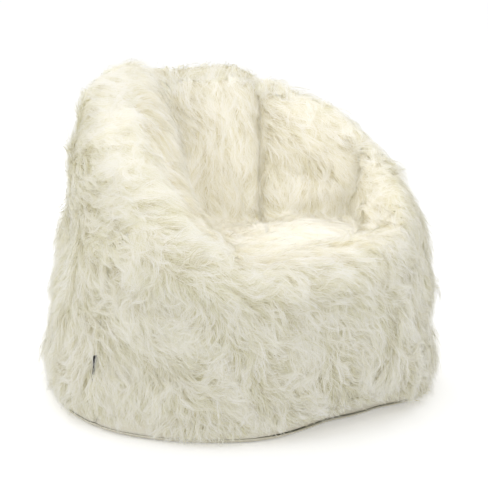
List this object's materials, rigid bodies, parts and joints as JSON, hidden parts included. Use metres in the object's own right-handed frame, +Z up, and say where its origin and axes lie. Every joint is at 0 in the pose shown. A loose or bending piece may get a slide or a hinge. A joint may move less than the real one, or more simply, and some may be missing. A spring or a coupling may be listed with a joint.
{
  "type": "bean bag chair",
  "caption": "Tub-shaped bean bag chair: long-pile faux-fur cover with high wrapped back, zipped smooth base, zipped liner and bead fill.",
  "frame": {"origin": "on the floor at the centre of the footprint", "axes": "+X to the sitter's left, +Y to the back, +Z up; the chair faces -Y"},
  "size_m": [0.784, 0.704, 0.6496],
  "materials": {
    "fur": "long cream faux fur, combed in loose wavy locks",
    "base_cloth": "smooth woven cream cloth",
    "liner_cloth": "thin white non-woven lining",
    "label": "blank dark woven ribbon",
    "zip_tape": "woven zip tape",
    "zip_coil": "nylon coil",
    "zip_metal": "plain die-cast slider with no pull tab",
    "beads": "expanded polystyrene beads"
  },
  "bodies": {
    "bag": {"front_panel": "fur", "outer_back_panel_left": "fur", "outer_back_panel_right": "fur", "inner_back_panel_left": "fur", "inner_back_panel_right": "fur", "arm_panel_left": "fur", "arm_panel_right": "fur", "seat_panel": "fur", "side_label": "label", "base_panel_front": "base_cloth", "base_panel_rear": "base_cloth", "base_zip_tape_front": "zip_tape", "base_zip_tape_rear": "zip_tape", "base_zip_coil_front": "zip_coil", "base_zip_coil_rear": "zip_coil", "base_zip_stop_left": "zip_metal", "base_zip_stop_right": "zip_metal", "liner_shell": "liner_cloth", "liner_base_front": "liner_cloth", "liner_base_rear": "liner_cloth", "liner_zip_tape_front": "zip_tape", "liner_zip_tape_rear": "zip_tape", "liner_zip_coil_front": "zip_coil", "liner_zip_coil_rear": "zip_coil", "liner_zip_stop_left": "zip_metal", "liner_zip_stop_right": "zip_metal", "bead_fill": "beads"},
    "base_zip_slider": {"base_zip_slider": "zip_metal"},
    "liner_zip_slider": {"liner_zip_slider": "zip_metal"}
  },
  "joints": [
    {"name": "base_zip_slide", "type": "slide", "parent": "bag", "child": "base_zip_slider", "axis": [-1, 0, 0], "range_m": [0, 0.54]},
    {"name": "liner_zip_slide", "type": "slide", "parent": "bag", "child": "liner_zip_slider", "axis": [-1, 0, 0], "range_m": [0, 0.38]}
  ]
}
